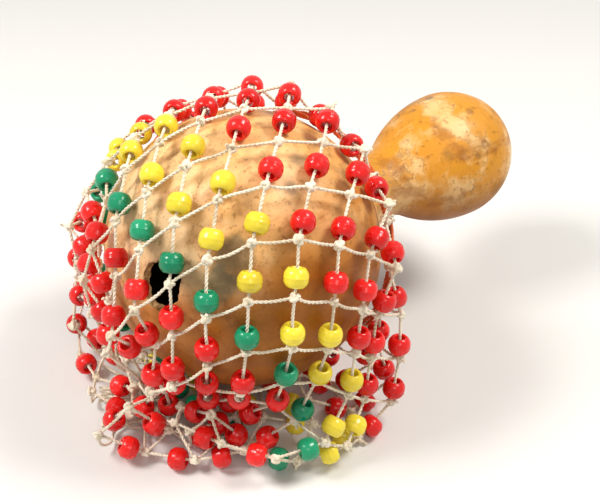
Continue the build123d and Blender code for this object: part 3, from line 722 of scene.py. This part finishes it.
def hitch_line(ring, knot, normal, away):
    """A lark's-head hitch: from its knot, twice round the collar cord, and back to the knot."""
    middle = middle_of(ring)
    out = outward(middle, away, normal)
    along = np.cross(normal, out)
    crossing = middle - 3.3 * MM * normal + 1.5 * MM * out
    turns = np.radians((-125, -90, -45, 0, 45, 90, 130, 160))
    line = []
    for side in (-1, 1):
        near, wide = side * 0.5 * MM * along, side * 0.85 * MM * along
        half = [middle + HITCH_LOOP * (math.cos(t) * normal + math.sin(t) * out) + wide for t in turns]
        half = [knot + near] + half + [crossing + near]
        line += half if side < 0 else half[::-1]
    return smooth_line(line)


def outward(place, centre, normal):
    """The direction from a ring's centre to a place on it, square to the ring's axis."""
    return unit(place - centre - ((place - centre) @ normal) * normal)


def off_strand(place, ends):
    """How badly a bead's middle fits a strand: its distance from the strand's line and from its middle."""
    start, end = ends
    aside = np.linalg.norm(np.cross(place - start, unit(end - start)))
    return aside + np.linalg.norm(place - (start + end) / 2)


def smooth_line(points):
    """Points along the NURBS spline that has the given control points."""
    curve = bpy.data.curves.new("route", "CURVE")
    curve.dimensions = "3D"
    spline = curve.splines.new("NURBS")
    spline.points.add(len(points) - 1)
    for point, place in zip(spline.points, points):
        point.co = (*place, 1)
    spline.order_u, spline.use_endpoint_u, spline.resolution_u = 3, True, 8
    route = linked("route", curve)
    mesh = bpy.data.meshes.new_from_object(route.evaluated_get(bpy.context.evaluated_depsgraph_get()))
    line = [v.co.copy() for v in mesh.vertices]
    bpy.data.objects.remove(route)
    bpy.data.curves.remove(curve)
    bpy.data.meshes.remove(mesh)
    return line


# Looks, and settings that a user may change

CARAMEL_AND_SHADE_WAY = (-0.05, -0.65, -0.758)  # from the gourd's pale side to its darker lower side, which is partly its own colour and partly painted shade
KNOT_REACH = 1.3 * MM  # how far a strand runs into its knots
KNOT_STEPS = 30
TABLE_ROOM = 12 * MM  # height under which a knot's cut ends keep level
PLY_RADIUS, PLY_PLACE = 0.31, 0.19  # of the twine's thickness
HITCH_LOOP = 2.45 * MM
TIE_LOOP = 2.6 * MM
CORD_STEPS = 240  # points round the collar cord
SPIN = 6.3  # about a full turn
LOOSE_ENDS = 0.4  # share of cross strands with a cut end at their knot
# Kinds of strand: node, sag and sway
STRANDS = (("bead_strands_row_", 0.0, 0.12 * MM), ("cross_strands_row_", 0.7 * MM, 0.35 * MM))
IMAGE_WIDTH = 600
IMAGE_SHIFT = (57, -5)  # pixels from the belly's centre to the picture's middle, to the right and up
SENSOR_WIDTH = 36.0
LAMP_DISTANCE = 0.9
FLOOR_REACH = 3.0
FLOOR_FADE = (0.3, 1.1)  # where the floor goes over into the backdrop
# Lamps: name, way from the belly in the camera's own right, up and back, size, watts, colour
LAMPS = (
    ("key", (0.6, 0.75, 0.5), 0.3, 6.2, (1.0, 0.97, 0.92)),
    ("left", (-0.7, 0.6, 0.6), 0.3, 7.2, (1.0, 0.98, 0.95)),
    ("front", (0.1, 0.1, 1.0), 0.3, 1.2, (1.0, 0.98, 0.95)),
)
# Stains: middle in metres, inner and outer radius and ragged edge in millimetres, tone and share
SKIN_PATCHES = (
    ((-0.0301, -0.0353, 0.0967), 5.0, 9.0, 9.0, "mould", 0.7),
    ((-0.0364, -0.0361, 0.0877), 4.0, 8.0, 8.0, "mould", 0.85),
    ((-0.0020, -0.0316, 0.1115), 1.0, 5.0, 6.0, "scab", 0.9),
    ((0.0080, -0.0230, 0.1160), 1.0, 6.0, 7.0, "mould", 0.6),
    ((-0.0440, -0.0260, 0.0890), 3.0, 7.5, 8.0, "mould", 0.5),
    ((-0.0200, 0.0420, 0.0960), 4.0, 11.0, 9.0, "mould", 0.4),
    ((0.0970, -0.0167, 0.0808), 1.0, 4.0, 5.0, "scab", 0.5),
    ((0.1228, -0.0276, 0.0608), 2.0, 7.0, 7.0, "scab", 0.4),
    ((0.1169, -0.0093, 0.0927), 0.5, 3.0, 4.0, "scab", 0.6),
)


def length_of(name, text, default):
    return bpy.props.FloatProperty(name=name, description=text, default=default, min=0.0,
                                   subtype="DISTANCE", unit="LENGTH")


def angle_of(name, text, degrees):
    return bpy.props.FloatProperty(name=name, description=text, default=math.radians(degrees),
                                   subtype="ANGLE", unit="ROTATION")


def count_of(name, text, default, least=0):
    return bpy.props.IntProperty(name=name, description=text, default=default, min=least)


def number_of(name, text, default, most):
    return bpy.props.FloatProperty(name=name, description=text, default=default, min=0.0, max=most)


def tone_of(name, text, default):
    return bpy.props.FloatVectorProperty(name=name, description=text, default=default, min=0.0, max=1.0,
                                         subtype="COLOR")


class GourdSettings(bpy.types.PropertyGroup):
    segments: count_of("Segments", "Faces round the gourd", 192, 24)
    dents: length_of("Dents", "How far the dried skin has shrunk in at its deepest", 0.0008)
    ragged: number_of("Ragged edge", "How uneven the cleaning hole is", 0.16, 0.4)
    pale: tone_of("Pale skin", "The belly's upper side", (0.86, 0.53, 0.23))
    ochre: tone_of("Ochre skin", "Patches on the belly", (0.76, 0.41, 0.095))
    # The belly's lower side: partly the skin's own colour, partly painted shade
    caramel: tone_of("Caramel skin", "The belly's lower side", (0.48, 0.165, 0.008))
    ash: tone_of("Ashen skin", "Round the blossom end", (0.82, 0.58, 0.34))
    amber: tone_of("Amber skin", "The handle", (0.64, 0.27, 0.02))
    cream: tone_of("Cream patches", "Worn and pale places", (0.84, 0.58, 0.27))
    # Real dark mottling and grain, and also painted shade on the underside
    rust: tone_of("Rust", "Dark mottling and the underside", (0.27, 0.085, 0.012))
    mould: tone_of("Mould", "Grey-olive stains", (0.13, 0.105, 0.06))
    scab: tone_of("Scabs", "Dark crusts and specks", (0.14, 0.08, 0.04))
    pith: tone_of("Pith", "The hollow's inside", (0.10, 0.055, 0.025))


class BeadSettings(bpy.types.PropertyGroup):
    diameter: length_of("Diameter", "Widest across the barrel", 0.009)
    length: length_of("Length", "End to end", 0.0072)
    end: length_of("End", "Flat round each end of the hole", 0.006)
    hole: length_of("Hole", "Through hole", 0.004)
    mould_line: length_of("Mould line", "Half width of the line left by the mould", 0.0001)
    segments: count_of("Segments", "Faces round a bead", 18, 8)
    red: tone_of("Red", "Rows 1 to 4 and 8 to 10", (0.84, 0.005, 0.003))
    yellow: tone_of("Yellow", "Rows 5 and 6", (0.95, 0.72, 0.04))
    green: tone_of("Green", "Row 7", (0.0, 0.28, 0.125))
    seed: count_of("Seed", "Which way beads are spun and tinted", 11)


class TwineSettings(bpy.types.PropertyGroup):
    thickness: length_of("Thickness", "Across the two plies", 0.0014)
    lay: length_of("Lay", "Length of one turn of the plies", 0.0034)
    knot: length_of("Knot", "Across a knot", 0.0039)
    cord_thread: length_of("Collar thread", "Across one thread of the collar cord", 0.0013)
    cord_threads: count_of("Collar threads", "Threads in the collar cord", 6, 3)
    cream: tone_of("Twine", "Clean twine", (0.90, 0.82, 0.66))
    dull: tone_of("Dull twine", "Handled twine", (0.62, 0.49, 0.31))
    orange: tone_of("Collar cord", "Its colour", (0.86, 0.13, 0.02))
    orange_dull: tone_of("Worn collar cord", "Its faded places", (0.62, 0.16, 0.05))
    seed: count_of("Seed", "How strands sway and knots turn", 5)


class StageSettings(bpy.types.PropertyGroup):
    distance: length_of("Distance", "Camera to the belly's centre", 0.415)
    azimuth: angle_of("Azimuth", "Camera's place round the gourd", -37)
    elevation: angle_of("Elevation", "Camera's height above the horizon", 37)
    lens: number_of("Lens", "Focal length in millimetres", 61.7, 500.0)
    floor: tone_of("Floor", "The table under the rattle", (0.80, 0.79, 0.77))
    backdrop: tone_of("Backdrop", "What is seen far off", (0.92, 0.905, 0.88))
    sky: number_of("Sky", "How strongly the backdrop lights the rattle", 0.28, 1.0)


# The stage and the pieces


def shows_backdrop(tree):
    """1 for the rays that see the backdrop, straight or in a reflection, and 0 for its light."""
    rays = node(tree, "ShaderNodeLightPath").outputs
    seen = sums(tree, "MAXIMUM", rays["Is Camera Ray"], rays["Is Glossy Ray"])
    return sums(tree, "MAXIMUM", seen, rays["Is Transmission Ray"])


class SHEKERE_OT_stage(bpy.types.Operator):
    """Camera, soft lamps and a pale floor"""

    bl_idname = "shekere.stage"
    bl_label = "Stage"

    def execute(self, context):
        settings, scene = context.scene.shekere_stage, context.scene
        scene.view_settings.view_transform = "Standard"
        turn, rise = settings.azimuth, settings.elevation
        back = Vector((math.sin(turn) * math.cos(rise), -math.cos(turn) * math.cos(rise), math.sin(rise)))
        camera = bpy.data.objects.new("camera", bpy.data.cameras.new("camera"))
        camera.location = BELLY + settings.distance * back
        camera.rotation_euler = (-back).to_track_quat("-Z", "Y").to_euler()
        camera.data.lens, camera.data.sensor_width = settings.lens, SENSOR_WIDTH
        camera.data.shift_x, camera.data.shift_y = (shift / IMAGE_WIDTH for shift in IMAGE_SHIFT)
        camera.data.clip_start = 0.01
        scene.collection.objects.link(camera)
        scene.camera = camera
        right = Vector((math.cos(turn), math.sin(turn), 0))
        up = back.cross(right)
        for name, way, size, watts, tone in LAMPS:
            lamp = bpy.data.lights.new(name, "AREA")
            lamp.size, lamp.energy, lamp.color = size, watts, tone
            place = bpy.data.objects.new(name, lamp)
            aim = (way[0] * right + way[1] * up + way[2] * back).normalized()
            place.location = BELLY + LAMP_DISTANCE * aim
            place.rotation_euler = (-aim).to_track_quat("-Z", "Y").to_euler()
            scene.collection.objects.link(place)
        self.floor(settings)
        self.sky(scene, settings)
        return {"FINISHED"}

    def floor(self, settings):
        mesh = bpy.data.meshes.new("floor")
        corners = [(x * FLOOR_REACH, y * FLOOR_REACH, 0) for x, y in ((-1, -1), (1, -1), (1, 1), (-1, 1))]
        mesh.from_pydata(corners, [], [(0, 1, 2, 3)])
        floor = linked("floor", mesh)
        material, tree, shader = new_finish("Floor", Roughness=0.85, Specular_IOR_Level=0.2)
        soft = cloud(tree, place_in(tree), 3.0, 2.0)
        grey = tuple(0.97 * c for c in settings.floor)
        tree.links.new(blended(tree, soft, colour(settings.floor), colour(grey)), shader.inputs["Base Color"])
        away = node(tree, "ShaderNodeVectorMath", {0: place_in(tree)}, operation="LENGTH").outputs["Value"]
        share = times(tree, between(tree, away, *FLOOR_FADE), shows_backdrop(tree))
        glow = node(tree, "ShaderNodeEmission", {"Color": colour(settings.backdrop)})
        mixed = node(tree, "ShaderNodeMixShader", {0: share, 1: shader.outputs[0], 2: glow.outputs[0]})
        tree.links.new(mixed.outputs[0], tree.nodes["Material Output"].inputs[0])
        mesh.materials.append(material)

    def sky(self, scene, settings):
        scene.world = bpy.data.worlds.new("Studio")
        scene.world.use_nodes = True
        tree = scene.world.node_tree
        sky = tree.nodes["Background"]
        sky.inputs["Color"].default_value = colour(settings.backdrop)
        strength = between(tree, shows_backdrop(tree), 0.0, 1.0, settings.sky, 1.0)
        tree.links.new(strength, sky.inputs["Strength"])


class SHEKERE_OT_tails(bpy.types.Operator):
    """The gathered tails of the net, each a free cord, and the wrap that binds them"""

    bl_idname = "shekere.tails"
    bl_label = "Tails and wrap"

    def execute(self, context):
        settings, twine = context.scene.shekere_twine, twine_of(context)
        tree = twine_tree()
        for number, route in enumerate(TAIL_ROUTES, 1):
            line = smooth_line([Vector(p) * MM for p in route])
            name = f"tail_{number:02d}"
            tail = dress(grown(name, lines_mesh(name, [line]), tree, twine), "tail_strands")
        along = Vector((math.cos(GATHER_HEADING), math.sin(GATHER_HEADING), 0))
        side, up = Vector((-along.y, along.x, 0)), Vector((0, 0, 1))
        coil = []
        for step in range(WRAP_TURNS * WRAP_STEPS + 1):
            turn = 2 * math.pi * step / WRAP_STEPS
            lead = WRAP_PITCH * (step / WRAP_STEPS - WRAP_TURNS / 2)
            out = math.cos(turn) * side + math.sin(turn) * up
            coil.append(GATHER_MIDDLE + lead * along + WRAP_RADIUS * out)
        dress(grown("wrap", lines_mesh("wrap", [coil]), tree, twine), "gather_wrap")
        return {"FINISHED"}


def twine_of(context):
    """The twine tree's inputs for the net's twine, with one material for all of it."""
    settings, name = context.scene.shekere_twine, "Cream twine"
    material = bpy.data.materials.get(name) or spun_thread(name, settings.cream, settings.dull)
    return {"Thickness": settings.thickness, "Lay": settings.lay, "Material": material}


class SHEKERE_OT_gourd(bpy.types.Operator):
    """The dried gourd shell with its cleaning hole"""

    bl_idname = "shekere.gourd"
    bl_label = "Gourd"

    def execute(self, context):
        settings = context.scene.shekere_gourd
        edge = gourd_edge(settings)
        body = linked("gourd_body", gourd_mesh(settings))
        for material in (gourd_skin(settings), gourd_inside(settings), edge):
            body.data.materials.append(material)
        cutter = linked("hole_cutter", hole_cutter(settings))
        cutter.data.materials.append(edge)
        cut = body.modifiers.new("Hole", "BOOLEAN")
        cut.object, cut.operation, cut.solver, cut.material_mode = cutter, "DIFFERENCE", "EXACT", "TRANSFER"
        mesh = bpy.data.meshes.new_from_object(body.evaluated_get(context.evaluated_depsgraph_get()))
        for spare in (body, cutter):
            bpy.data.objects.remove(spare)
        if len(mesh.polygons) < settings.segments:
            raise RuntimeError("the cleaning hole could not be cut")
        dress(linked("gourd", mesh), "gourd_shell")
        return {"FINISHED"}


class SHEKERE_OT_strands(bpy.types.Operator):
    """The twine between the knots, row by row"""

    bl_idname = "shekere.strands"
    bl_label = "Strands"

    def execute(self, context):
        settings, twine = context.scene.shekere_twine, twine_of(context)
        tree = bpy.data.node_groups["Laid twine"]
        draws = np.random.default_rng(settings.seed)
        for row in ROWS:
            for kind, sag, sway in STRANDS:
                lines = [slack_line(*ends, sag, sway, draws) for ends in strands_of(kind + row)]
                if sag:
                    lines += [cut_end(line[-1], line[-1] - line[-2], draws) for line in lines
                              if draws.random() < LOOSE_ENDS]
                name = kind.replace("_row_", "_") + row
                dress(grown(name, lines_mesh(name, lines), tree, twine), kind + row)
        return {"FINISHED"}


class SHEKERE_OT_knots(bpy.types.Operator):
    """The knots where bead strands and cross strands are tied together"""

    bl_idname = "shekere.knots"
    bl_label = "Knots"

    def execute(self, context):
        settings, twine = context.scene.shekere_twine, twine_of(context)
        tree, shape = scatter_tree(), linked("knot_shape", knot_mesh(settings))
        draws = np.random.default_rng(settings.seed + 1)
        for cad_node in ["hitch_knots"] + ["knots_row_" + row for row in ROWS]:
            places = [middle_of(points) for points in solids_of(cad_node)]
            turns = [track_turn(draws.normal(size=3), draws.uniform(0, SPIN)) for _ in places]
            sizes = draws.uniform(0.9, 1.08, len(places))
            points = points_mesh(cad_node, places, turns, np.zeros(len(places)), sizes)
            name = cad_node.replace("_row", "_tied")
            dress(grown(name, points, tree, {"Shape": shape, "Material": twine["Material"]}), cad_node)
        bpy.data.objects.remove(shape)
        return {"FINISHED"}


class SHEKERE_OT_collar(bpy.types.Operator):
    """The collar cord of laid threads, its tied ends, and the hitches that hold the net to it"""

    bl_idname = "shekere.collar"
    bl_label = "Collar"

    def execute(self, context):
        settings, twine = context.scene.shekere_twine, twine_of(context)
        tree = bpy.data.node_groups["Laid twine"]
        draws = np.random.default_rng(settings.seed + 2)
        orange = spun_thread("Orange cord", settings.orange, settings.orange_dull)
        thread = {"Thickness": settings.cord_thread, "Lay": settings.lay, "Material": orange}
        ring = solids_of("collar_cord")[0]
        middle, (side, over, normal) = middle_of(ring), axes_of(ring)
        normal = normal * np.sign(normal[0])
        radius = np.linalg.norm((ring - middle) - np.outer((ring - middle) @ normal, normal), axis=1)
        radius = (radius.min() + radius.max()) / 2
        lines = []
        for number in range(settings.cord_threads):
            phase, wander = 2 * math.pi * number / settings.cord_threads, draws.uniform(0, SPIN, 2)
            line = []
            for step in range(CORD_STEPS):
                turn = 2 * math.pi * step / CORD_STEPS
                out = math.cos(turn) * side + math.sin(turn) * over
                lay = phase + 6 * turn + 0.5 * math.sin(3 * turn + wander[0])
                off = 1.05 * MM * (1 + 0.15 * math.sin(7 * turn + wander[1]))
                line.append(middle + (radius + off * math.cos(lay)) * out + off * math.sin(lay) * normal)
            lines.append(line)
        dress(grown("collar", lines_mesh("collar", lines, closed=True), tree, thread), "collar_cord")
        tie = lines_mesh("collar_tied", self.tie_lines(normal, middle))
        dress(grown("collar_tied", tie, tree, dict(thread, Thickness=1.5 * MM)), "collar_tie")
        knots = [middle_of(points) for points in solids_of("hitch_knots")]
        hitches = []
        for points in solids_of("hitch_loops"):
            nearest = min(knots, key=lambda knot: np.linalg.norm(knot - middle_of(points)))
            hitches.append(hitch_line(points, nearest, normal, middle))
        dress(grown("hitches", lines_mesh("hitches", hitches), tree, twine), "hitch_loops")
        return {"FINISHED"}

    def tie_lines(self, normal, centre):
        """The turns that tie the collar cord, and its two ends standing away from them."""
        places = [middle_of(points) for points in solids_of("collar_tie")]
        turns = np.linspace(0, 2 * math.pi, 19)
        lines = []
        for place in places:
            out = outward(place, centre, normal)
            lines.append([place + TIE_LOOP * (math.cos(t) * normal + math.sin(t) * out) for t in turns])
        for place, way in ((places[0], -1), (places[-1], 1)):
            out = unit(place - np.array(BELLY))
            along = np.cross(normal, out)
            start = place + 2.7 * MM * out
            steps = [way * 2.2 * s * along + (0.15 * s * s - 0.35 * s) * out + 0.9 * s * normal
                     for s in range(5)]
            lines.append([start + MM * step for step in steps])
        return lines


class SHEKERE_OT_beads(bpy.types.Operator):
    """The barrel beads, row by row"""

    bl_idname = "shekere.beads"
    bl_label = "Beads"

    def execute(self, context):
        settings = context.scene.shekere_beads
        tree, shape = bpy.data.node_groups["Set shapes"], linked("bead_shape", bead_mesh(settings))
        draws = np.random.default_rng(settings.seed)
        plastics = {"bead_" + tone: bead_plastic(tone.title() + " bead", getattr(settings, tone))
                    for tone in ("red", "yellow", "green")}
        for cad_node in sorted(n for n in NODES if "beads_row" in n):
            lines = strands_of("bead_strands_row_" + cad_node[-2:])
            places, turns = [], []
            for points in solids_of(cad_node):
                place = middle_of(points)
                start, end = min(lines, key=lambda ends: off_strand(place, ends))
                places.append(place)
                turns.append(track_turn(end - start, draws.uniform(0, SPIN)))
            tints = draws.uniform(0.1, 0.9, len(places))
            points = points_mesh(cad_node, places, turns, tints, np.ones(len(places)))
            name = cad_node.replace("_row", "_threaded")
            values = {"Shape": shape, "Material": plastics[SLOT_OF[cad_node]]}
            dress(grown(name, points, tree, values), cad_node)
        bpy.data.objects.remove(shape)
        return {"FINISHED"}


class SHEKERE_PT_panel(bpy.types.Panel):
    """Lists what dresses the rattle"""

    bl_idname = "SHEKERE_PT_panel"
    bl_label = "Shekere"
    bl_space_type = "VIEW_3D"
    bl_region_type = "UI"
    bl_category = "Shekere"

    def draw(self, context):
        for operator in OPERATORS:
            self.layout.operator(operator.bl_idname)
        for name in SETTINGS:
            box = self.layout.box()
            group = getattr(context.scene, name)
            for field in group.__annotations__:
                box.prop(group, field)


SETTINGS = {"shekere_gourd": GourdSettings, "shekere_beads": BeadSettings,
            "shekere_twine": TwineSettings, "shekere_stage": StageSettings}
OPERATORS = (SHEKERE_OT_stage, SHEKERE_OT_tails, SHEKERE_OT_gourd, SHEKERE_OT_strands, SHEKERE_OT_knots,
             SHEKERE_OT_collar, SHEKERE_OT_beads)
CLASSES = (*SETTINGS.values(), *OPERATORS, SHEKERE_PT_panel)


def register():
    for made in CLASSES:
        bpy.utils.register_class(made)
    for name, group in SETTINGS.items():
        setattr(bpy.types.Scene, name, bpy.props.PointerProperty(type=group))


def unregister():
    for name in SETTINGS:
        delattr(bpy.types.Scene, name)
    for made in reversed(CLASSES):
        bpy.utils.unregister_class(made)


def main():
    register()
    for item in list(bpy.data.objects):
        if item.type in ("CAMERA", "LIGHT"):
            bpy.data.objects.remove(item)
    bpy.ops.shekere.stage()
    bpy.ops.shekere.tails()
    bpy.ops.shekere.gourd()
    bpy.ops.shekere.strands()
    bpy.ops.shekere.knots()
    bpy.ops.shekere.collar()
    bpy.ops.shekere.beads()


if __name__ == "__main__":
    main()
